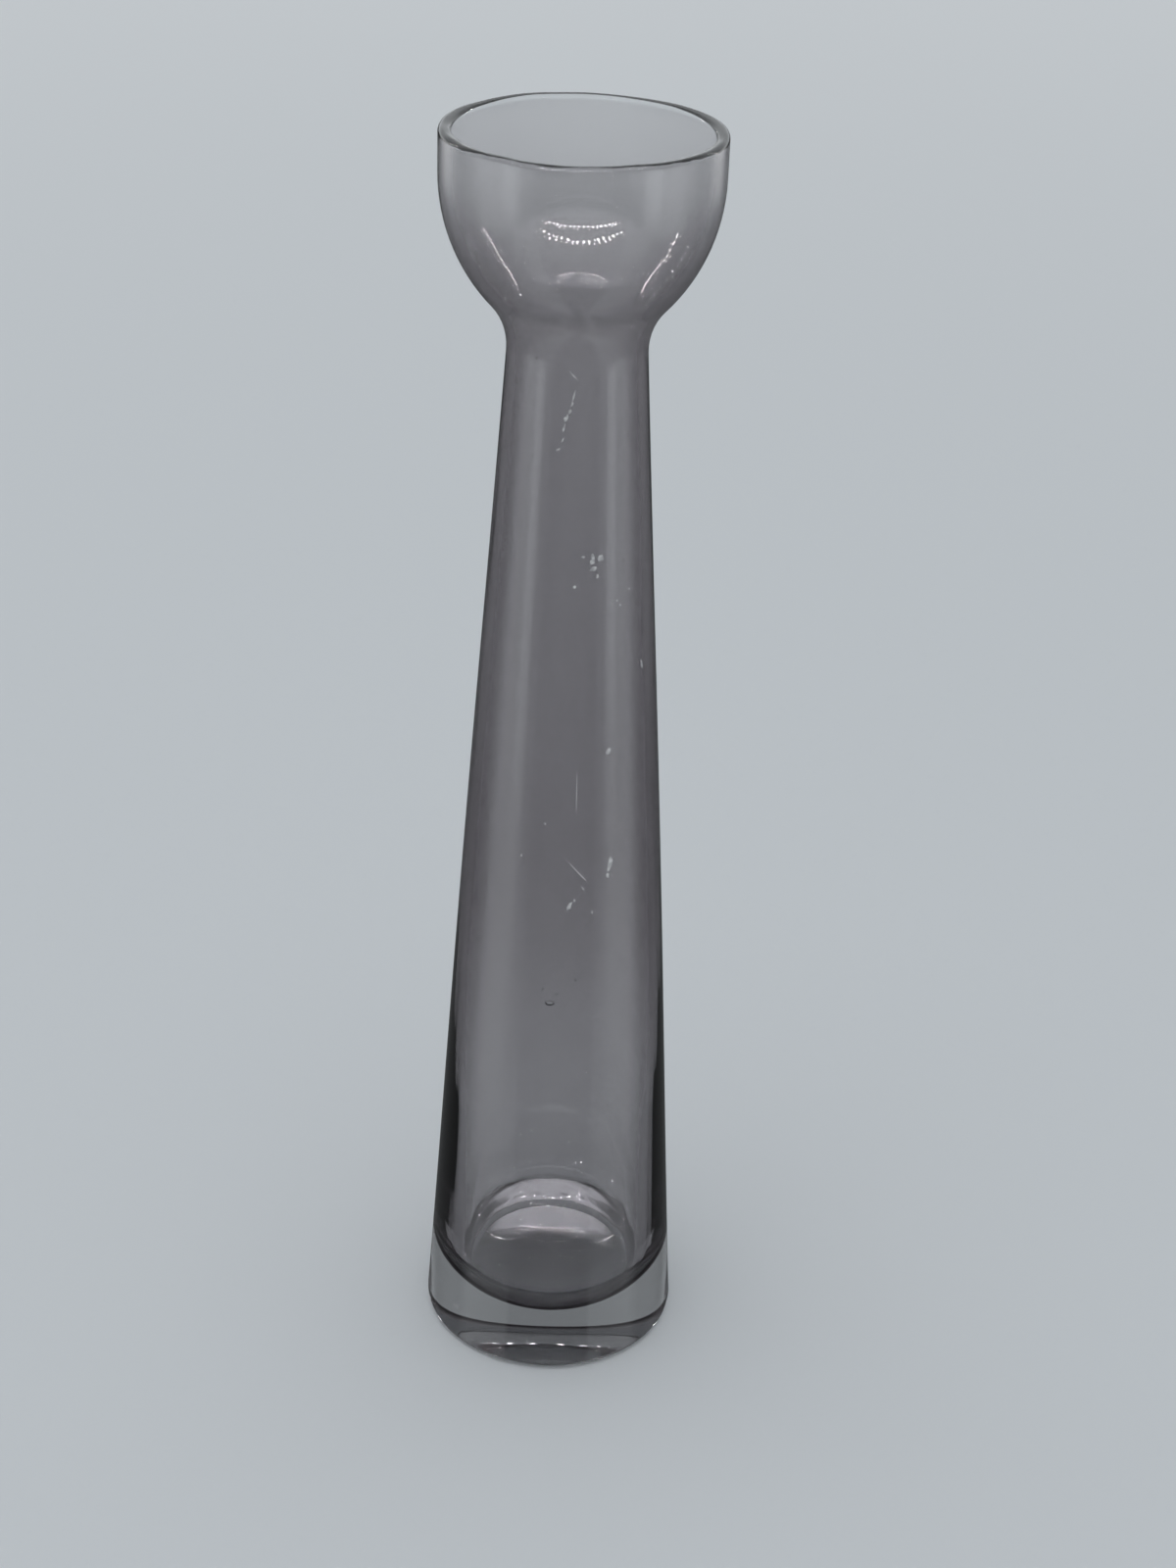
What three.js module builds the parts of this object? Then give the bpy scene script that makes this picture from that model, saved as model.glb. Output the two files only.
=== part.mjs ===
// Hyacinth vase of cased glass: a smoke-tinted bubble inside a clear casing that thickens into a heavy foot.
// Millimetres, +Z up, origin at the middle of the underside. The vase is turned about Z.
import * as THREE from 'three';

// Overall form of the outer skin
const HEIGHT = 360;
const BASE_DIAMETER = 74.2;
const NECK_DIAMETER = 36.1;
const NECK_SIDE_RADIUS = 18;
const CUP_DIAMETER = 71.3;
const CUP_SIDE_RADIUS = 47.6;
const LIP_HEIGHT = 11.4;
const STEM_SWELL = 0.4;
const FOOT_EDGE_RADIUS = 2;
const RIM_EDGE_RADIUS = 1;

// Whole wall, from the outer skin to the cavity
const CUP_WALL = 3.4;
const NECK_WALL = 3;
const STEM_WALL = 3.4;

// The straight well that the cavity ends in, inside the foot
const WELL_DIAMETER = 54.4;
const WELL_BLEND_RADIUS = 1000;
const FLOOR_THICKNESS = 7.5;
const FLOOR_BOWL_RADIUS = 32;
const FLOOR_CORNER_RADIUS = 9;

// Tinted share of the wall, which thins where the cup and the floor were blown out
const CUP_TINT = 1.3;
const NECK_TINT = 2.1;
const STEM_TINT = 2.5;
const WELL_TINT = 1.3;
const FLOOR_TINT = 0.4;

// Facets
const TURN_STEPS = 48;
const STEM_STEPS = 6;
const FACET_TOLERANCE = 0.08;

const point = (radius, height) => new THREE.Vector2(radius, height);

// Points of an arc about a centre, from one angle to the other, both ends included
function arc(centre, radius, startAngle, endAngle) {
  const widestStep = 2 * Math.acos(1 - FACET_TOLERANCE / radius);
  const steps = Math.max(2, Math.ceil(Math.abs(endAngle - startAngle) / widestStep));
  const points = [];
  for (let i = 0; i <= steps; i += 1) {
    const angle = startAngle + ((endAngle - startAngle) * i) / steps;
    points.push(point(centre.x + radius * Math.cos(angle), centre.y + radius * Math.sin(angle)));
  }
  return points;
}

// The upper part of a skin at a depth below the outer skin, from the stem to the lip. The stem is the line from
// the foot that touches the neck's round, and the neck's round touches the cup's side, so no corner shows.
function upperSkin({ cupDepth, neckDepth, stemDepth, lipTop }) {
  const cupSide = CUP_SIDE_RADIUS - cupDepth;
  const cupCentre = point(CUP_DIAMETER / 2 - CUP_SIDE_RADIUS, HEIGHT - LIP_HEIGHT);
  const neckSide = NECK_SIDE_RADIUS + neckDepth;
  const neckX = NECK_DIAMETER / 2 + NECK_SIDE_RADIUS;
  const reach = cupSide + neckSide;
  const neckCentre = point(neckX, cupCentre.y - Math.sqrt(reach ** 2 - (neckX - cupCentre.x) ** 2));

  const foot = point(BASE_DIAMETER / 2 - stemDepth, 0);
  const toNeck = neckCentre.clone().sub(foot);
  const lean = toNeck.angle() + Math.asin(neckSide / toNeck.length()) - Math.PI / 2;

  const meeting = neckCentre.clone().sub(cupCentre).angle() - 2 * Math.PI;
  const neck = arc(neckCentre, neckSide, Math.PI + lean, Math.PI + meeting);
  const cup = arc(cupCentre, cupSide, meeting, 0);
  const lip = point(cupCentre.x + cupSide, lipTop);
  return { footRadius: foot.x, lean, points: [...neck, ...cup.slice(1), lip] };
}

// The outer skin, from the middle of the underside up to the lip. Its stem swells slightly halfway up.
function outerSkin() {
  const upper = upperSkin({ cupDepth: 0, neckDepth: 0, stemDepth: 0, lipTop: HEIGHT - RIM_EDGE_RADIUS });
  const edgeReach = (FOOT_EDGE_RADIUS * (1 + Math.sin(upper.lean))) / Math.cos(upper.lean);
  const edgeCentre = point(upper.footRadius - edgeReach, FOOT_EDGE_RADIUS);
  const edge = arc(edgeCentre, FOOT_EDGE_RADIUS, -Math.PI / 2, upper.lean);
  const stem = [];
  for (let i = 1; i < STEM_STEPS; i += 1) {
    const share = i / STEM_STEPS;
    const swell = STEM_SWELL * Math.sin(Math.PI * share) ** 2;
    stem.push(edge.at(-1).clone().lerp(upper.points[0], share).add(point(swell, 0)));
  }
  return [point(0, 0), ...edge, ...stem, ...upper.points];
}

// A skin inside the wall, from the middle of the floor up to the lip. Below the stem it ends in a well: a bowl
// for a floor, a rounded corner and a straight side, which a wide round joins to the leaning stem.
function innerSkin({ wellRadius, bottom, bowlRadius, cornerRadius, ...depths }) {
  const upper = upperSkin(depths);
  const rise = Math.asin((wellRadius - cornerRadius) / (bowlRadius - cornerRadius));
  const bowl = arc(point(0, bottom + bowlRadius), bowlRadius, -Math.PI / 2, rise - Math.PI / 2);
  const cornerHeight = bottom + bowlRadius - (bowlRadius - cornerRadius) * Math.cos(rise);
  const cornerCentre = point(wellRadius - cornerRadius, cornerHeight);
  const corner = arc(cornerCentre, cornerRadius, rise - Math.PI / 2, 0).slice(1);
  const meetingHeight = (upper.footRadius - wellRadius) / Math.tan(upper.lean);
  const blendHeight = meetingHeight - WELL_BLEND_RADIUS * Math.tan(upper.lean / 2);
  const blendCentre = point(wellRadius - WELL_BLEND_RADIUS, blendHeight);
  const blend = arc(blendCentre, WELL_BLEND_RADIUS, 0, upper.lean);
  return [point(0, bottom), ...bowl.slice(1), ...corner, ...blend, ...upper.points];
}

// The rounded edge of the rim, from a skin's lip to the flat top, turning in or out
function rimEdge(lip, towards) {
  const centre = point(lip.x + towards * RIM_EDGE_RADIUS, lip.y);
  const start = towards < 0 ? 0 : Math.PI;
  return arc(centre, RIM_EDGE_RADIUS, start, Math.PI / 2).slice(1);
}

const outside = outerSkin();
const cavity = innerSkin({
  cupDepth: CUP_WALL,
  neckDepth: NECK_WALL,
  stemDepth: STEM_WALL,
  wellRadius: WELL_DIAMETER / 2,
  bottom: FLOOR_THICKNESS,
  bowlRadius: FLOOR_BOWL_RADIUS,
  cornerRadius: FLOOR_CORNER_RADIUS,
  lipTop: HEIGHT - RIM_EDGE_RADIUS,
});
const tintEdge = innerSkin({
  cupDepth: CUP_WALL - CUP_TINT,
  neckDepth: NECK_WALL - NECK_TINT,
  stemDepth: STEM_WALL - STEM_TINT,
  wellRadius: WELL_DIAMETER / 2 + WELL_TINT,
  bottom: FLOOR_THICKNESS - FLOOR_TINT,
  bowlRadius: FLOOR_BOWL_RADIUS + WELL_TINT,
  cornerRadius: FLOOR_CORNER_RADIUS + WELL_TINT,
  lipTop: HEIGHT,
});

const casingProfile = [...outside, ...rimEdge(outside.at(-1), -1), ...tintEdge.toReversed()];
const liningProfile = [...tintEdge, ...rimEdge(cavity.at(-1), 1).toReversed(), ...cavity.toReversed()];

// A lathe turns about Y, so each piece is tipped up to stand on Z
function turned(name, profile, material) {
  const mesh = new THREE.Mesh(new THREE.LatheGeometry(profile, TURN_STEPS), material);
  mesh.name = name;
  mesh.rotation.x = Math.PI / 2;
  return mesh;
}

const clearGlass = new THREE.MeshStandardMaterial({
  color: 0xdfe6e6,
  roughness: 0.03,
  metalness: 0,
  transparent: true,
  opacity: 0.35,
});
const smokeGlass = new THREE.MeshStandardMaterial({
  color: 0x6f6b70,
  roughness: 0.05,
  metalness: 0,
  transparent: true,
  opacity: 0.6,
});

const vase = new THREE.Group();
vase.name = 'hyacinth_vase';
vase.add(turned('clear_casing', casingProfile, clearGlass));
vase.add(turned('smoke_lining', liningProfile, smokeGlass));

export default vase;
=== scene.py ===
"""Hyacinth vase of cased glass: a smoke-tinted bubble inside a clear casing with a heavy foot."""

import math

import bpy
from mathutils import Matrix, Vector, noise


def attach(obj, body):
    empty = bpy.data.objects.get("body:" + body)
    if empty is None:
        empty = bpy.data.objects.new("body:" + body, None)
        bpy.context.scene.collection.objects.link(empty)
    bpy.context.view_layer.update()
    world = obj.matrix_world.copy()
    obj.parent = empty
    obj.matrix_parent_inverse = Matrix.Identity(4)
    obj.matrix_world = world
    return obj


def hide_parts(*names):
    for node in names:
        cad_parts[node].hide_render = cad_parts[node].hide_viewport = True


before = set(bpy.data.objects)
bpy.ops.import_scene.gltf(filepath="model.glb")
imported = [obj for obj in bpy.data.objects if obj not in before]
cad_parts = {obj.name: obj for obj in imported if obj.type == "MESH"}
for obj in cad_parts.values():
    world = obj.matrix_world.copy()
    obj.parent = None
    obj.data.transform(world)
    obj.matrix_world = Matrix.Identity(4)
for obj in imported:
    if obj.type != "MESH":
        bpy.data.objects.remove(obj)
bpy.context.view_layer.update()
scene = bpy.context.scene

MM = 0.001

# Outer form. Lengths of the vase are in millimetres, and those of the studio in metres.
HEIGHT = 360
BASE_DIAMETER = 74.19
NECK_DIAMETER = 36.1
NECK_SIDE_RADIUS = 18
CUP_DIAMETER = 71.3
CUP_SIDE_RADIUS = 47.6
LIP_HEIGHT = 11.4
STEM_SWELL = 0.4
FOOT_EDGE_RADIUS = 2
RIM_EDGE_RADIUS = 1.4
RIM_SLOPE = math.radians(10)

# Whole wall, and the straight well that the cavity ends in
CUP_WALL = 3.4
NECK_WALL = 3
STEM_WALL = 3.4
WELL_DIAMETER = 54.4
WELL_BLEND_RADIUS = 1000
FLOOR_THICKNESS = 7.5
FLOOR_BOWL_RADIUS = 32
FLOOR_CORNER_RADIUS = 9
RIM_DROP = (CUP_WALL - 2 * RIM_EDGE_RADIUS) * math.tan(RIM_SLOPE)

# Tinted share of the wall. It keeps a hair's gap from the cavity, ends below the rim and thins towards it.
CUP_TINT = 1.75
NECK_TINT = 1.85
STEM_TINT = 2.5
WELL_TINT = 1.3
FLOOR_TINT = 0.4
TINT_GAP = 0.04
TINT_BELOW_RIM = 1.2
LIP_TINT_LOSS = 0.62
LIP_TINT_FADE = (HEIGHT - 40, HEIGHT - 6)

# Absorption in each millimetre, for red, green and blue. The margin keeps a volume's colour above zero.
TINT_ABSORPTION = (0.26, 0.279, 0.269)
CLEAR_ABSORPTION = (0.0172, 0.0169, 0.0166)
DENSITY_MARGIN = 1.02

# Finish of the clear glass, with a slight haze of dried water where the noise is high
GLASS_IOR = 1.5
HAZE_SCALE = 38
HAZE_DETAIL = 5
HAZE_RANGE = (0.55, 0.8)
HAZE_ROUGHNESS = 0.012

# Mesh fineness
TURN_STEPS = 224
PROFILE_STEP = 2.5
FINEST_ANGLE = math.radians(7)
FEWEST_ARC_STEPS = 3
SAME_POINT = 1e-6

# Hand-made unevenness. A wave has a depth, a length across the vase, a length along it, and a shift along
# it that keeps it apart from the others. Calm is the height over which the waves set in.
CAVITY_WAVE = (0.09, 17, 45, 0)
CAVITY_STREAK = (0.03, 2.6, 130, 500)
CAVITY_CALM = 14
OUTER_WAVE = (0.02, 22, 60, 200)
OUTER_CALM = 12
FINE_WEAR = (0.12, 1.7, 2.1, 0)
COARSE_WEAR = (0.072, 5, 4, 90)
LIP_DIP = 0.4
LIP_WAVE = (0.4, 21, 1, 40)
LIP_RIPPLE = (0.2, 8, 1, 70)
LIP_REACH = 9

# Bubbles in the clear glass: bearing from the front in degrees, height, depth, and half sizes across, along
# and through
SEED_RINGS = 8
SEED_SIDES = 14
SEEDS = (
    (-4, 124.3, 0.62, 1.3, 0.75, 0.3),
    (-8.1, 128.6, 0.5, 0.3, 0.35, 0.22),
    (-0.2, 127.4, 0.5, 0.3, 0.35, 0.22),
    (-33.6, 305.9, 0.45, 0.26, 0.4, 0.2),
    (56.9, 300.3, 0.45, 0.26, 0.45, 0.2),
    (44.3, 285.8, 0.45, 0.25, 0.5, 0.2),
    (-32.3, 280.7, 0.45, 0.22, 0.55, 0.2),
    (131, 240, 0.45, 0.25, 0.5, 0.2),
    (-122, 190, 0.45, 0.3, 0.6, 0.2),
    (168, 95, 0.5, 0.35, 0.5, 0.22),
)

# Flecks on the outer skin: bearing from the front in degrees, height, width, length and lean in degrees
FLECKS = (
    (-2.5, 302.8, 0.35, 2.2, -45),
    (-1.5, 297.6, 0.45, 2.6, 8),
    (-2.6, 295.5, 0.4, 1.6, 20),
    (-4.2, 293.5, 0.7, 1.5, 25),
    (-6.8, 291.7, 0.9, 1.7, 25),
    (-8.3, 289.1, 0.5, 1.9, 15),
    (-9, 286, 0.35, 1.1, 20),
    (-12.1, 283.4, 0.4, 1.4, 65),
    (8.6, 255.2, 0.7, 0.7, 0),
    (15.7, 254.8, 0.8, 2, -15),
    (21.1, 254.6, 1.5, 2, 10),
    (14.7, 253.6, 1.4, 1.1, 30),
    (15.8, 251.9, 1.9, 1.3, -35),
    (18.9, 249.6, 0.7, 1.3, 0),
    (3.1, 247, 0.7, 0.8, 0),
    (30.2, 241.9, 0.6, 0.6, 0),
    (33.8, 242.1, 0.5, 0.5, 0),
    (36.3, 240.7, 0.6, 0.5, 0),
    (44.3, 244.3, 0.5, 0.5, 0),
    (56.4, 221.4, 0.8, 2.2, -10),
    (27.6, 199.8, 1.1, 2.4, 30),
    (7.8, 188.8, 0.22, 11, 0),
    (-10.4, 179.3, 0.6, 0.6, 0),
    (-23.9, 168.6, 0.6, 0.7, 0),
    (9.8, 165, 0.3, 6.5, -40),
    (12.8, 160, 0.3, 2.2, -35),
    (29.2, 166.4, 1.4, 4.4, 12),
    (27.6, 162.8, 1, 1.6, -20),
    (5, 154.7, 0.9, 2.8, 25),
    (7.9, 156.6, 0.6, 1, 0),
    (18.2, 152.5, 0.5, 0.9, 0),
)

# A fleck's ragged outline, and its layers from the root out: share of the outline, and height over the skin
FLECK_SIDES = 14
FLECK_RAGGED = 0.7
FLECK_PACE = 1.3
FLECK_SHIFT = 3.7
FLECK_LAYERS = ((1, -0.03), (1, 0.02), (0.55, 0.06))

# Dried residue: grain, its two tones with their places in the grain, and finish
RESIDUE_GRAIN = 900
RESIDUE_DETAIL = 4
RESIDUE_TONES = ((0.3, (0.36, 0.36, 0.37)), (0.7, (0.72, 0.72, 0.72)))
RESIDUE_ROUGHNESS = 0.75

# Camera at the photograph's viewing angle
CAMERA_PLACE = (0, -0.64062, 0.52968)
CAMERA_PITCH = math.radians(28.786)
CAMERA_ROLL = math.radians(2.063)
CAMERA_YAW = math.radians(0.596)
CAMERA_LENS = 60.75
CAMERA_SENSOR = 36
CAMERA_NEAR = 0.01

# Ground, which is the studio's floor and gets paler with distance
GROUND_COLOUR = (0.735, 0.76, 0.78)
FAR_GROUND_COLOUR = (0.93, 0.945, 0.955)
GROUND_FADE = (0.3, 2.4)
GROUND_DROP = 0.0003
GROUND_RADIUS = 5
GROUND_SIDES = 128
GROUND_ROUGHNESS = 0.9
GROUND_SPECULAR = 0.1

# Soft lamp overhead
LAMP_PLACE = (-0.3, -0.2, 2)
LAMP_POWER = 5
LAMP_SIZE = 1.4

# Small lights: bars overhead, each row at its distance behind the vase, and upright posts behind it
BAR_HEIGHT = 1.39
BAR_HALF_LENGTH = 1.05
BAR_FRONT_ROWS = (-1.14, -0.82)
BAR_BACK_ROWS = (0.45,)
BAR_LIGHTS = 18
POST_PLACE = (1.2, 0.9)
POST_BOTTOM = 0.55
POST_TOP = 1.15
POST_LIGHTS = 10
LIGHT_SIZE = 0.031
LIGHT_STRENGTH = 100

# Soft cards on either side, behind the cup
CARD_BEARING = math.radians(127)
CARD_DISTANCE = 0.3
CARD_HEIGHT = 0.325
CARD_SIZE = (0.22, 0.19)
CARD_STRENGTH = 1.4

# What the glass sees around it. Bearings are in degrees from the front, to either side. Heights are the
# upward share of the direction. Brightness is relative to the dome. A pair of bearings or heights is where
# a change starts and where it ends.
DOME_COLOUR = (0.56, 0.585, 0.605)
HORIZON = (-0.1, 0.05)

# The wall all round, dimmer higher up, and a dark area of it in front
WALL_TOP = (0.1, 0.25)
HIGH_WALL = 0.75
FRONT_DARK = 0.85
DARK_BEARINGS = (50, 80)
DARK_BOTTOM = (0.1, 0.2)
DARK_TOP = (0.42, 0.5)

# The ceiling's brightness in front and behind, as refracted and as mirrored
CEILING_EDGE = (0.45, 0.55)
CEILING_BEARINGS = (70, 110)
CEILING_THROUGH = (3.6, 0.35)
CEILING_MIRRORED = (1.2, 0.4)

# Mirrored below the horizon: a dark front, paler sides that dim towards the back, and soft bands, each with
# a bearing, a half width, a brightness and the heights over which it sets in. Above the horizon, a bright
# back.
MIRROR_FRONT = 0.08
MIRROR_SIDES = 0.7
MIRROR_STEP = (35, 41)
MIRROR_FAR_SIDES = 0.2
MIRROR_FAR_STEP = (78, 95)
MIRROR_BANDS = (
    (57, 7, 1.6, -0.5, -0.25),
    (74, 20, 1.4, -0.58, -0.42),
    (127, 12, 0.2, -0.46, -0.3),
)
BAND_CORE = 0.4
BAND_REACH = 1.6
MIRROR_BACK = 0.9
BACK_BEARINGS = (80.2, 114.6)
BACK_TOP = (0.45, 0.7)

# Corners of a square, as steps from its middle
CORNERS = ((-1, -1), (1, -1), (1, 1), (-1, 1))

# Light crosses many faces of glass on its way through the vase
GLASS_BOUNCES = 40
GLOSSY_BOUNCES = 20
TRANSPARENT_BOUNCES = 64


def arc(centre, radius, start, end):
    """Points of an arc, both ends included."""
    span = abs(end - start)
    by_angle = math.ceil(span / FINEST_ANGLE)
    by_length = math.ceil(span * radius / PROFILE_STEP)
    steps = max(FEWEST_ARC_STEPS, by_angle, by_length)
    points = []
    for i in range(steps + 1):
        angle = start + (end - start) * i / steps
        points.append((centre[0] + radius * math.cos(angle), centre[1] + radius * math.sin(angle)))
    return points


def line(start, end):
    """Points of a straight run, both ends included."""
    steps = max(1, math.ceil(math.dist(start, end) / PROFILE_STEP))
    points = []
    for i in range(steps + 1):
        share = i / steps
        points.append((start[0] + (end[0] - start[0]) * share, start[1] + (end[1] - start[1]) * share))
    return points


def joined(*runs):
    """One profile from several runs, with the points that they share kept once."""
    points = []
    for run in runs:
        for p in run:
            if not points or math.dist(points[-1], p) > SAME_POINT:
                points.append(p)
    return points


def upper_skin(cup_depth, neck_depth, stem_depth, lip_top):
    """A skin from the top of the stem to the lip, with the foot's radius and the stem's lean."""
    cup_side = CUP_SIDE_RADIUS - cup_depth
    cup_centre = (CUP_DIAMETER / 2 - CUP_SIDE_RADIUS, HEIGHT - LIP_HEIGHT)
    neck_side = NECK_SIDE_RADIUS + neck_depth
    neck_x = NECK_DIAMETER / 2 + NECK_SIDE_RADIUS
    drop = math.sqrt((cup_side + neck_side) ** 2 - (neck_x - cup_centre[0]) ** 2)
    neck_centre = (neck_x, cup_centre[1] - drop)
    foot_radius = BASE_DIAMETER / 2 - stem_depth
    to_neck = (neck_centre[0] - foot_radius, neck_centre[1])
    lean = math.atan2(to_neck[1], to_neck[0]) + math.asin(neck_side / math.hypot(*to_neck)) - math.pi / 2
    meeting = math.atan2(neck_centre[1] - cup_centre[1], neck_centre[0] - cup_centre[0])
    neck = arc(neck_centre, neck_side, math.pi + lean, math.pi + meeting)
    cup = arc(cup_centre, cup_side, meeting, 0)
    return foot_radius, lean, joined(neck, cup, line(cup[-1], (cup[-1][0], lip_top)))


def outer_skin():
    """The outer skin from the middle of the underside to the lip, swelling slightly halfway up the stem."""
    foot_radius, lean, upper = upper_skin(0, 0, 0, HEIGHT - RIM_EDGE_RADIUS)
    reach = FOOT_EDGE_RADIUS * (1 + math.sin(lean)) / math.cos(lean)
    edge = arc((foot_radius - reach, FOOT_EDGE_RADIUS), FOOT_EDGE_RADIUS, -math.pi / 2, lean)
    straight = line(edge[-1], upper[0])
    stem = []
    for i, (radius, height) in enumerate(straight):
        swell = STEM_SWELL * math.sin(math.pi * i / (len(straight) - 1)) ** 2
        stem.append((radius + swell, height))
    return joined(line((0, 0), edge[0]), edge, stem, upper)


OUTER = outer_skin()


def inner_skin(cup_depth, neck_depth, stem_depth, well_radius, bottom, corner_radius, lip_top):
    """A skin inside the wall, from the middle of the floor to the lip."""
    foot_radius, lean, upper = upper_skin(cup_depth, neck_depth, stem_depth, lip_top)
    bowl_radius = FLOOR_BOWL_RADIUS + well_radius - WELL_DIAMETER / 2
    rise = math.asin((well_radius - corner_radius) / (bowl_radius - corner_radius))
    bowl_top = bottom + bowl_radius
    bowl = arc((0, bowl_top), bowl_radius, -math.pi / 2, rise - math.pi / 2)
    corner_drop = (bowl_radius - corner_radius) * math.cos(rise)
    corner_centre = (well_radius - corner_radius, bowl_top - corner_drop)
    corner = arc(corner_centre, corner_radius, rise - math.pi / 2, 0)
    meeting_height = (foot_radius - well_radius) / math.tan(lean)
    blend_height = meeting_height - WELL_BLEND_RADIUS * math.tan(lean / 2)
    blend = arc((well_radius - WELL_BLEND_RADIUS, blend_height), WELL_BLEND_RADIUS, 0, lean)
    return joined(bowl, corner, line(corner[-1], blend[0]), blend, line(blend[-1], upper[0]), upper)


def cavity_skin(offset):
    """The cavity's skin, moved into the wall by an offset."""
    return inner_skin(
        CUP_WALL - offset,
        NECK_WALL - offset,
        STEM_WALL - offset,
        WELL_DIAMETER / 2 + offset,
        FLOOR_THICKNESS - offset,
        FLOOR_CORNER_RADIUS + offset,
        HEIGHT - RIM_EDGE_RADIUS - RIM_DROP,
    )


def smooth_step(low, high, value):
    """0 below low, 1 above high, and a smooth ramp between them."""
    share = min(1, max(0, (value - low) / (high - low)))
    return share * share * (3 - 2 * share)


def tint_edge():
    """The skin between the tint and the clear casing. The tint thins towards the rim."""
    even = inner_skin(
        CUP_WALL - CUP_TINT,
        NECK_WALL - NECK_TINT,
        STEM_WALL - STEM_TINT,
        WELL_DIAMETER / 2 + WELL_TINT,
        FLOOR_THICKNESS - FLOOR_TINT,
        FLOOR_CORNER_RADIUS + WELL_TINT,
        HEIGHT - TINT_BELOW_RIM,
    )
    thinned = []
    for radius, height in even:
        loss = LIP_TINT_LOSS * smooth_step(*LIP_TINT_FADE, height)
        thinned.append((radius - CUP_TINT * loss, height))
    return thinned


def wave(x, y, z, depth, across, along, shift):
    """Smooth noise, between about minus its depth and its depth."""
    return depth * noise.noise(Vector((x / across, y / across, (z + shift) / along)))


def still(x, y, z):
    """No unevenness."""
    return 0


def cavity_uneven(x, y, z):
    """How far the cavity's skin stands in from its ideal place."""
    fade = smooth_step(FLOOR_THICKNESS, FLOOR_THICKNESS + CAVITY_CALM, z)
    return fade * (wave(x, y, z, *CAVITY_WAVE) + wave(x, y, z, *CAVITY_STREAK))


def outer_uneven(x, y, z):
    """How far the outer skin stands in from its ideal place, with wear on the foot's edge."""
    fade = smooth_step(0, OUTER_CALM, z)
    worn = 1 - smooth_step(FOOT_EDGE_RADIUS, 2 * FOOT_EDGE_RADIUS, z)
    wear = max(0, wave(x, y, z, *FINE_WEAR)) + max(0, wave(x, y, z, *COARSE_WEAR))
    return fade * wave(x, y, z, *OUTER_WAVE) + worn * wear


def lip_uneven(x, y, z):
    """How far the lip dips below its ideal height."""
    near = smooth_step(HEIGHT - LIP_REACH, HEIGHT, z)
    return near * (LIP_DIP + wave(x, y, 0, *LIP_WAVE) + wave(x, y, 0, *LIP_RIPPLE))


def turned(profile, skins):
    """A closed mesh turned from a profile, with each point moved in by its skin's unevenness."""
    vertices = []
    rings = []
    for (radius, height), uneven in zip(profile, skins):
        if radius < SAME_POINT:
            rings.append([len(vertices)])
            vertices.append((0, 0, height * MM))
            continue
        ring = []
        for j in range(TURN_STEPS):
            angle = 2 * math.pi * j / TURN_STEPS
            x = radius * math.cos(angle)
            y = radius * math.sin(angle)
            moved = 1 - uneven(x, y, height) / radius
            dip = lip_uneven(x, y, height)
            ring.append(len(vertices))
            vertices.append((x * moved * MM, y * moved * MM, (height - dip) * MM))
        rings.append(ring)
    faces = []
    for low, high in zip(rings, rings[1:] + rings[:1]):
        if len(low) == 1 and len(high) == 1:
            continue
        for j in range(TURN_STEPS):
            k = (j + 1) % TURN_STEPS
            if len(low) == 1:
                faces.append((low[0], high[k], high[j]))
            elif len(high) == 1:
                faces.append((low[j], low[k], high[0]))
            else:
                faces.append((low[j], low[k], high[k], high[j]))
    return vertices, faces


def outer_radius(height):
    """The radius of the outer skin at a height above the foot's edge."""
    for (low_radius, low), (high_radius, high) in zip(OUTER, OUTER[1:]):
        if low <= height <= high and high > low:
            return low_radius + (high_radius - low_radius) * (height - low) / (high - low)
    return OUTER[-1][0]


def on_skin(bearing, height, across, along, out):
    """A point in metres near a place on the outer skin: across it, along it and out from it."""
    radius = outer_radius(height + along) + out
    angle = math.radians(bearing) + across / radius
    return (radius * math.sin(angle) * MM, -radius * math.cos(angle) * MM, (height + along) * MM)


def seed_shell(bearing, height, depth, across, along, through):
    """A bubble inside the clear glass: a closed shell whose faces look into the bubble."""
    points = [on_skin(bearing, height, 0, along, -depth)]
    for i in range(1, SEED_RINGS):
        tilt = math.pi * i / SEED_RINGS
        rise = along * math.cos(tilt)
        for j in range(SEED_SIDES):
            turn = 2 * math.pi * j / SEED_SIDES
            aside = across * math.sin(tilt) * math.cos(turn)
            out = through * math.sin(tilt) * math.sin(turn) - depth
            points.append(on_skin(bearing, height, aside, rise, out))
    points.append(on_skin(bearing, height, 0, -along, -depth))
    faces = []
    last = len(points) - 1
    for j in range(SEED_SIDES):
        k = (j + 1) % SEED_SIDES
        faces.append((0, 1 + j, 1 + k))
        for i in range(SEED_RINGS - 2):
            first = 1 + i * SEED_SIDES
            second = first + SEED_SIDES
            faces.append((first + j, second + j, second + k, first + k))
        bottom = last - SEED_SIDES
        faces.append((bottom + j, last, bottom + k))
    return points, faces


def new_material(name):
    """A material with its node tree, its shader and its output."""
    material = bpy.data.materials.new(name)
    material.use_nodes = True
    tree = material.node_tree
    return material, tree, tree.nodes["Principled BSDF"], tree.nodes["Material Output"]


def coordinates(tree, kind):
    """A texture coordinate socket."""
    return tree.nodes.new("ShaderNodeTexCoord").outputs[kind]


def split(tree, vector):
    """The X, Y and Z sockets of a vector."""
    parts = tree.nodes.new("ShaderNodeSeparateXYZ")
    tree.links.new(vector, parts.inputs["Vector"])
    return parts.outputs


def object_noise(tree, scale, detail):
    """Noise over the object's own space."""
    texture = tree.nodes.new("ShaderNodeTexNoise")
    texture.inputs["Scale"].default_value = scale
    texture.inputs["Detail"].default_value = detail
    tree.links.new(coordinates(tree, "Object"), texture.inputs["Vector"])
    return texture.outputs["Fac"]


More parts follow.
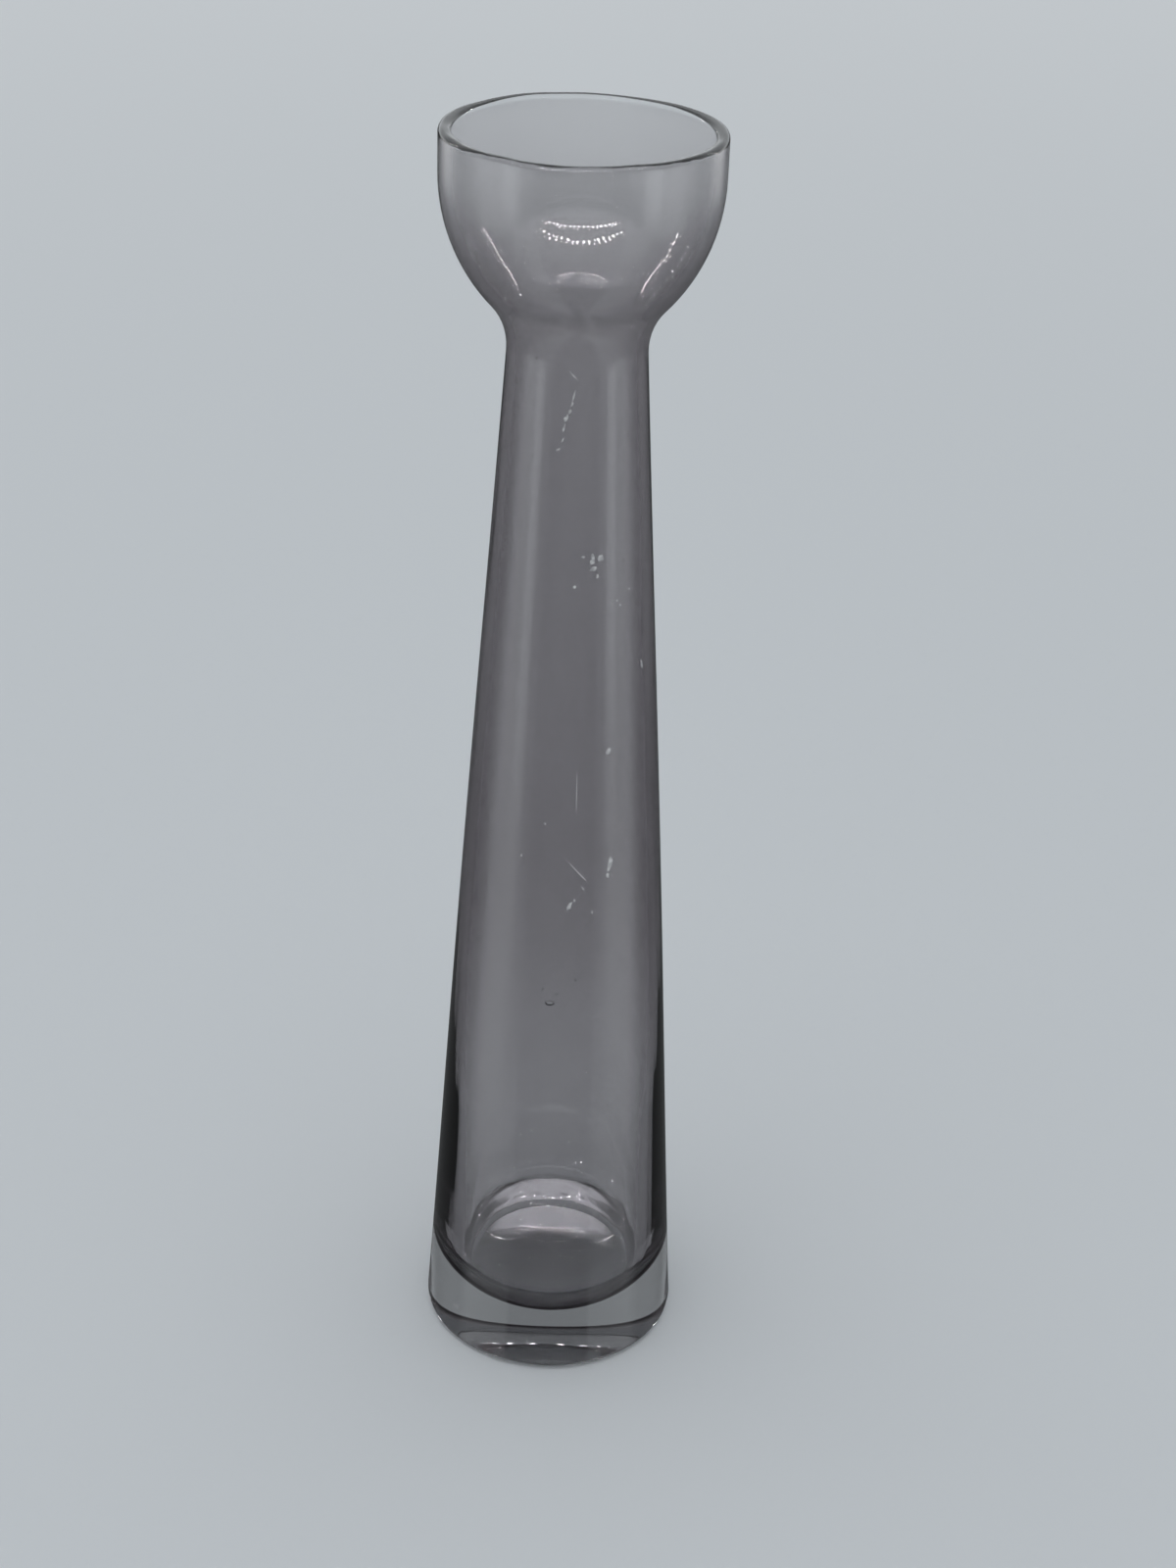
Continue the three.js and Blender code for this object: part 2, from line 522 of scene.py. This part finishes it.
def math_node(tree, operation, *values):
    """A math node fed by sockets or numbers."""
    node = tree.nodes.new("ShaderNodeMath")
    node.operation = operation
    for socket, value in zip(node.inputs, values):
        if isinstance(value, (int, float)):
            socket.default_value = value
        else:
            tree.links.new(value, socket)
    return node.outputs[0]


def times(tree, first, second):
    """The product of two sockets or numbers."""
    return math_node(tree, "MULTIPLY", first, second)


def plus(tree, first, second):
    """The sum of two sockets or numbers."""
    return math_node(tree, "ADD", first, second)


def distance(tree, value, middle):
    """How far a value is from the middle."""
    return math_node(tree, "ABSOLUTE", math_node(tree, "SUBTRACT", value, middle))


def ramp(tree, value, low, high, start, end, kind="SMOOTHSTEP"):
    """A change from start to end as value goes from low to high."""
    node = tree.nodes.new("ShaderNodeMapRange")
    node.interpolation_type = kind
    for name, setting in (("From Min", low), ("From Max", high), ("To Min", start), ("To Max", end)):
        node.inputs[name].default_value = setting
    tree.links.new(value, node.inputs["Value"])
    return node.outputs["Result"]


def absorb_light(tree, output, per_mm):
    """Gives a material a volume that absorbs red, green and blue at the given rates per millimetre."""
    absorb = tree.nodes.new("ShaderNodeVolumeAbsorption")
    strongest = max(per_mm) * DENSITY_MARGIN
    absorb.inputs["Density"].default_value = strongest / MM
    passed = [1 - rate / strongest for rate in per_mm]
    absorb.inputs["Color"].default_value = (*passed, 1)
    tree.links.new(absorb.outputs["Volume"], output.inputs["Volume"])


def clear_glass():
    """Clear glass, faintly grey where it is thick, with a slight haze of dried water in patches."""
    material, tree, shader, output = new_material("clear_glass")
    absorb_light(tree, output, CLEAR_ABSORPTION)
    shader.inputs["Base Color"].default_value = (1, 1, 1, 1)
    shader.inputs["Transmission Weight"].default_value = 1
    shader.inputs["IOR"].default_value = GLASS_IOR
    haze = object_noise(tree, HAZE_SCALE, HAZE_DETAIL)
    roughness = ramp(tree, haze, *HAZE_RANGE, 0, HAZE_ROUGHNESS, "LINEAR")
    tree.links.new(roughness, shader.inputs["Roughness"])
    return material


def smoke_glass():
    """Smoke-grey colour inside the wall, which only takes light out."""
    material, tree, shader, output = new_material("smoke_glass")
    tree.nodes.remove(shader)
    absorb_light(tree, output, TINT_ABSORPTION)
    return material


def residue():
    """Thin pale residue, uneven in colour and dull."""
    material, tree, shader, _ = new_material("dried_residue")
    tone = tree.nodes.new("ShaderNodeValToRGB")
    for stop, (position, colour) in zip(tone.color_ramp.elements, RESIDUE_TONES):
        stop.position = position
        stop.color = (*colour, 1)
    tree.links.new(object_noise(tree, RESIDUE_GRAIN, RESIDUE_DETAIL), tone.inputs["Fac"])
    tree.links.new(tone.outputs["Color"], shader.inputs["Base Color"])
    shader.inputs["Roughness"].default_value = RESIDUE_ROUGHNESS
    return material


def mesh_piece(name, vertices, faces, material):
    """A smooth-shaded piece that rides on the part's one body."""
    mesh = bpy.data.meshes.new(name)
    mesh.from_pydata(vertices, [], faces)
    mesh.polygons.foreach_set("use_smooth", [True] * len(faces))
    mesh.materials.append(material)
    mesh.update()
    piece = bpy.data.objects.new(name, mesh)
    scene.collection.objects.link(piece)
    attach(piece, "root")
    return piece


def make_vase():
    """The glass itself, as one closed body from the outer skin over the rim to the cavity."""
    cavity = cavity_skin(0)
    top_angle = math.pi / 2 + RIM_SLOPE
    outer_centre = (OUTER[-1][0] - RIM_EDGE_RADIUS, OUTER[-1][1])
    outer_edge = arc(outer_centre, RIM_EDGE_RADIUS, 0, top_angle)
    inner_centre = (cavity[-1][0] + RIM_EDGE_RADIUS, cavity[-1][1])
    inner_edge = arc(inner_centre, RIM_EDGE_RADIUS, top_angle, math.pi)
    profile = joined(OUTER, outer_edge, inner_edge, cavity[::-1])
    skins = [outer_uneven] * (len(profile) - len(cavity)) + [cavity_uneven] * len(cavity)
    vertices, faces = turned(profile, skins)
    for seed in SEEDS:
        points, shell = seed_shell(*seed)
        faces += [tuple(len(vertices) + i for i in face) for face in shell]
        vertices += points
    piece = mesh_piece("vase_glass", vertices, faces, clear_glass())
    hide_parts("clear_casing")


def make_tint():
    """The tinted layer, a closed shell inside the wall that follows the cavity."""
    inside = cavity_skin(TINT_GAP)
    profile = joined(tint_edge(), inside[::-1])
    skins = [still] * (len(profile) - len(inside)) + [cavity_uneven] * len(inside)
    vertices, faces = turned(profile, skins)
    piece = mesh_piece("smoke_tint", vertices, faces, smoke_glass())
    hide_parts("smoke_lining")


def fleck_outline(number, width, length, lean):
    """The ragged outline of a fleck, as places across and along the skin."""
    outline = []
    for j in range(FLECK_SIDES):
        angle = 2 * math.pi * j / FLECK_SIDES
        spot = (FLECK_PACE * math.cos(angle), FLECK_PACE * math.sin(angle), FLECK_SHIFT * number)
        ragged = 1 + FLECK_RAGGED * noise.noise(Vector(spot))
        aside = ragged * width / 2 * math.cos(angle)
        ahead = ragged * length / 2 * math.sin(angle)
        across = aside * math.cos(lean) + ahead * math.sin(lean)
        along = ahead * math.cos(lean) - aside * math.sin(lean)
        outline.append((across, along))
    return outline


def make_flecks():
    """Small flecks and threads of residue that cling to the outer skin."""
    vertices = []
    faces = []
    for number, (bearing, height, width, length, lean) in enumerate(FLECKS):
        outline = fleck_outline(number, width, length, math.radians(lean))
        root = len(vertices)
        for share, out in FLECK_LAYERS:
            vertices += [on_skin(bearing, height, share * u, share * v, out) for u, v in outline]
        top = len(vertices) - FLECK_SIDES
        for j in range(FLECK_SIDES):
            k = (j + 1) % FLECK_SIDES
            for low in range(root, top, FLECK_SIDES):
                high = low + FLECK_SIDES
                faces.append((low + j, low + k, high + k, high + j))
        faces.append(tuple(range(top, top + FLECK_SIDES)))
        faces.append(tuple(reversed(range(root, root + FLECK_SIDES))))
    piece = mesh_piece("dried_flecks", vertices, faces, residue())


def make_camera():
    """The camera, pitched down, with the photograph's slight roll and yaw."""
    data = bpy.data.cameras.new("camera")
    data.sensor_width = CAMERA_SENSOR
    data.lens = CAMERA_LENS
    data.clip_start = CAMERA_NEAR
    camera = bpy.data.objects.new("camera", data)
    scene.collection.objects.link(camera)
    flat = math.cos(CAMERA_PITCH)
    ahead = Vector((math.sin(CAMERA_YAW) * flat, math.cos(CAMERA_YAW) * flat, -math.sin(CAMERA_PITCH)))
    level = Vector((math.cos(CAMERA_YAW), -math.sin(CAMERA_YAW), 0))
    upright = level.cross(ahead)
    side = math.cos(CAMERA_ROLL) * level + math.sin(CAMERA_ROLL) * upright
    top = math.cos(CAMERA_ROLL) * upright - math.sin(CAMERA_ROLL) * level
    matrix = Matrix((side, top, -ahead)).transposed().to_4x4()
    matrix.translation = Vector(CAMERA_PLACE)
    camera.matrix_world = matrix
    scene.camera = camera


def hide_from(piece, rays):
    """Lets the named kinds of ray pass a piece by."""
    for ray in rays:
        setattr(piece, "visible_" + ray, False)


def stage_piece(name, vertices, faces, material, unseen_by):
    """A piece of the studio, which isn't part of the object."""
    mesh = bpy.data.meshes.new(name)
    mesh.from_pydata(vertices, [], faces)
    mesh.materials.append(material)
    piece = bpy.data.objects.new(name, mesh)
    hide_from(piece, unseen_by)
    scene.collection.objects.link(piece)
    return piece


def make_floor():
    """A plain pale floor just under the foot, paler far away."""
    material, tree, shader, _ = new_material("floor")
    away = tree.nodes.new("ShaderNodeVectorMath")
    away.operation = "LENGTH"
    tree.links.new(coordinates(tree, "Object"), away.inputs[0])
    paler = tree.nodes.new("ShaderNodeMix")
    paler.data_type = "RGBA"
    paler.inputs["A"].default_value = (*GROUND_COLOUR, 1)
    paler.inputs["B"].default_value = (*FAR_GROUND_COLOUR, 1)
    tree.links.new(ramp(tree, away.outputs["Value"], *GROUND_FADE, 0, 1), paler.inputs["Factor"])
    tree.links.new(paler.outputs["Result"], shader.inputs["Base Color"])
    shader.inputs["Roughness"].default_value = GROUND_ROUGHNESS
    shader.inputs["Specular IOR Level"].default_value = GROUND_SPECULAR
    points = []
    for j in range(GROUND_SIDES):
        angle = 2 * math.pi * j / GROUND_SIDES
        points.append((GROUND_RADIUS * math.cos(angle), GROUND_RADIUS * math.sin(angle), -GROUND_DROP))
    stage_piece("floor", points, [tuple(range(GROUND_SIDES))], material, ("glossy",))


def surroundings(tree):
    """How bright the glass sees its surroundings in each direction, refracted and mirrored."""
    place = split(tree, coordinates(tree, "Generated"))
    turn = math_node(tree, "ARCTAN2", place["X"], times(tree, place["Y"], -1))
    bearing = math_node(tree, "DEGREES", math_node(tree, "ABSOLUTE", turn))
    up = place["Z"]

    dark = ramp(tree, bearing, *DARK_BEARINGS, FRONT_DARK, 0)
    dark = times(tree, dark, ramp(tree, up, *DARK_BOTTOM, 0, 1))
    dark = times(tree, dark, ramp(tree, up, *DARK_TOP, 1, 0))
    wall = ramp(tree, up, *WALL_TOP, 1, HIGH_WALL)
    wall = times(tree, wall, math_node(tree, "SUBTRACT", 1, dark))
    overhead = ramp(tree, up, *CEILING_EDGE, 0, 1)
    lit = []
    for front, back in (CEILING_THROUGH, CEILING_MIRRORED):
        ceiling = ramp(tree, bearing, *CEILING_BEARINGS, front, back)
        lit.append(plus(tree, wall, times(tree, ceiling, overhead)))
    through, high = lit

    behind = ramp(tree, bearing, *BACK_BEARINGS, 0, MIRROR_BACK)
    high = plus(tree, high, times(tree, behind, ramp(tree, up, *BACK_TOP, 1, 0)))
    low = ramp(tree, bearing, *MIRROR_STEP, MIRROR_FRONT, MIRROR_SIDES)
    low = times(tree, low, ramp(tree, bearing, *MIRROR_FAR_STEP, 1, MIRROR_FAR_SIDES))
    for middle, half_width, brightness, bottom, full in MIRROR_BANDS:
        off = distance(tree, bearing, middle)
        band = ramp(tree, off, half_width * BAND_CORE, half_width * BAND_REACH, brightness, 0)
        low = plus(tree, low, times(tree, band, ramp(tree, up, bottom, full, 0, 1)))
    high = times(tree, high, ramp(tree, up, *HORIZON, 0, 1))
    low = times(tree, low, ramp(tree, up, *HORIZON, 1, 0))
    return through, plus(tree, low, high)


def make_world():
    """An even pale dome all round, and soft light and dark areas for the glass to refract and mirror."""
    world = bpy.data.worlds.new("studio")
    scene.world = world
    world.use_nodes = True
    tree = world.node_tree
    dome = tree.nodes["Background"]
    dome.inputs["Color"].default_value = (*DOME_COLOUR, 1)
    through, mirrored = surroundings(tree)
    path = tree.nodes.new("ShaderNodeLightPath")
    shown = dome.outputs["Background"]
    # A refracted ray can count as glossy too, so the choice for refraction comes last
    for ray, strength in (("Is Glossy Ray", mirrored), ("Is Transmission Ray", through)):
        seen = tree.nodes.new("ShaderNodeBackground")
        seen.inputs["Color"].default_value = (*DOME_COLOUR, 1)
        tree.links.new(strength, seen.inputs["Strength"])
        choice = tree.nodes.new("ShaderNodeMixShader")
        tree.links.new(path.outputs[ray], choice.inputs["Fac"])
        tree.links.new(shown, choice.inputs[1])
        tree.links.new(seen.outputs["Background"], choice.inputs[2])
        shown = choice.outputs["Shader"]
    tree.links.new(shown, tree.nodes["World Output"].inputs["Surface"])


def make_lamp():
    """A wide soft lamp overhead, for a soft shadow."""
    data = bpy.data.lights.new("overhead", "AREA")
    data.size = LAMP_SIZE
    data.energy = LAMP_POWER
    lamp = bpy.data.objects.new("overhead", data)
    lamp.location = LAMP_PLACE
    hide_from(lamp, ("camera", "glossy", "transmission"))
    scene.collection.objects.link(lamp)


def glow(name):
    """The material of small lights."""
    material, tree, shader, output = new_material(name)
    tree.nodes.remove(shader)
    emission = tree.nodes.new("ShaderNodeEmission")
    emission.inputs["Strength"].default_value = LIGHT_STRENGTH
    tree.links.new(emission.outputs["Emission"], output.inputs["Surface"])
    return material


def light_row(start, end, count):
    """Places evenly spaced from one end of a row of lights to the other."""
    return [start.lerp(end, i / (count - 1)) for i in range(count)]


def make_lights(name, spots, unseen_by=()):
    """Small square lights that face the vase and show as crisp dots in the glass."""
    vertices = []
    faces = []
    for spot in spots:
        towards = Vector((0, 0, HEIGHT * MM)) - spot
        across = towards.cross(Vector((0, 0, 1))).normalized() * LIGHT_SIZE / 2
        upright = towards.cross(across).normalized() * LIGHT_SIZE / 2
        faces.append(tuple(range(len(vertices), len(vertices) + len(CORNERS))))
        for a, b in CORNERS:
            vertices.append(spot + a * across + b * upright)
    stage_piece(name, vertices, faces, glow(name), ("camera", "diffuse", "shadow", *unseen_by))


def bar_spots(rows):
    """Places of the lights on the bars of the given rows."""
    spots = []
    for row in rows:
        ends = [Vector((side * BAR_HALF_LENGTH, row, BAR_HEIGHT)) for side in (-1, 1)]
        spots += light_row(*ends, BAR_LIGHTS)
    return spots


def post_spots():
    """Places of the lights on the two posts."""
    spots = []
    for side in (-1, 1):
        ends = [Vector((side * POST_PLACE[0], POST_PLACE[1], height)) for height in (POST_BOTTOM, POST_TOP)]
        spots += light_row(*ends, POST_LIGHTS)
    return spots


def make_side_cards():
    """Two soft bright cards, level with the cup, for its sides to mirror."""
    material, tree, shader, output = new_material("side_cards")
    tree.nodes.remove(shader)
    place = split(tree, coordinates(tree, "Generated"))
    strength = CARD_STRENGTH
    # Across a card and up it, these coordinates run from 0 to 1, so its middle is at a half
    for axis in ("X", "Z"):
        off = distance(tree, place[axis], 0.5)
        strength = times(tree, strength, ramp(tree, off, 0, 0.5, 1, 0))
    emission = tree.nodes.new("ShaderNodeEmission")
    tree.links.new(strength, emission.inputs["Strength"])
    clear = tree.nodes.new("ShaderNodeBsdfTransparent")
    both = tree.nodes.new("ShaderNodeAddShader")
    tree.links.new(emission.outputs["Emission"], both.inputs[0])
    tree.links.new(clear.outputs["BSDF"], both.inputs[1])
    tree.links.new(both.outputs["Shader"], output.inputs["Surface"])
    corners = [(x * CARD_SIZE[0] / 2, 0, z * CARD_SIZE[1] / 2) for x, z in CORNERS]
    unseen_by = ("camera", "diffuse", "transmission", "shadow")
    for side, name in ((-1, "left_card"), (1, "right_card")):
        card = stage_piece(name, corners, [(0, 1, 2, 3)], material, unseen_by)
        across = side * CARD_DISTANCE * math.sin(CARD_BEARING)
        card.location = (across, -CARD_DISTANCE * math.cos(CARD_BEARING), CARD_HEIGHT)
        card.rotation_euler = (0, 0, math.pi - side * (math.pi - CARD_BEARING))


make_camera()
make_vase()
make_tint()
make_flecks()
make_floor()
make_world()
make_lamp()
make_lights("front_bars", bar_spots(BAR_FRONT_ROWS))
make_lights("top_bars", bar_spots(BAR_BACK_ROWS), ("glossy",))
make_lights("posts", post_spots())
make_side_cards()

scene.cycles.max_bounces = GLASS_BOUNCES
scene.cycles.transmission_bounces = GLASS_BOUNCES
scene.cycles.glossy_bounces = GLOSSY_BOUNCES
scene.cycles.transparent_max_bounces = TRANSPARENT_BOUNCES
scene.cycles.sample_clamp_indirect = 0
scene.view_settings.view_transform = "Standard"
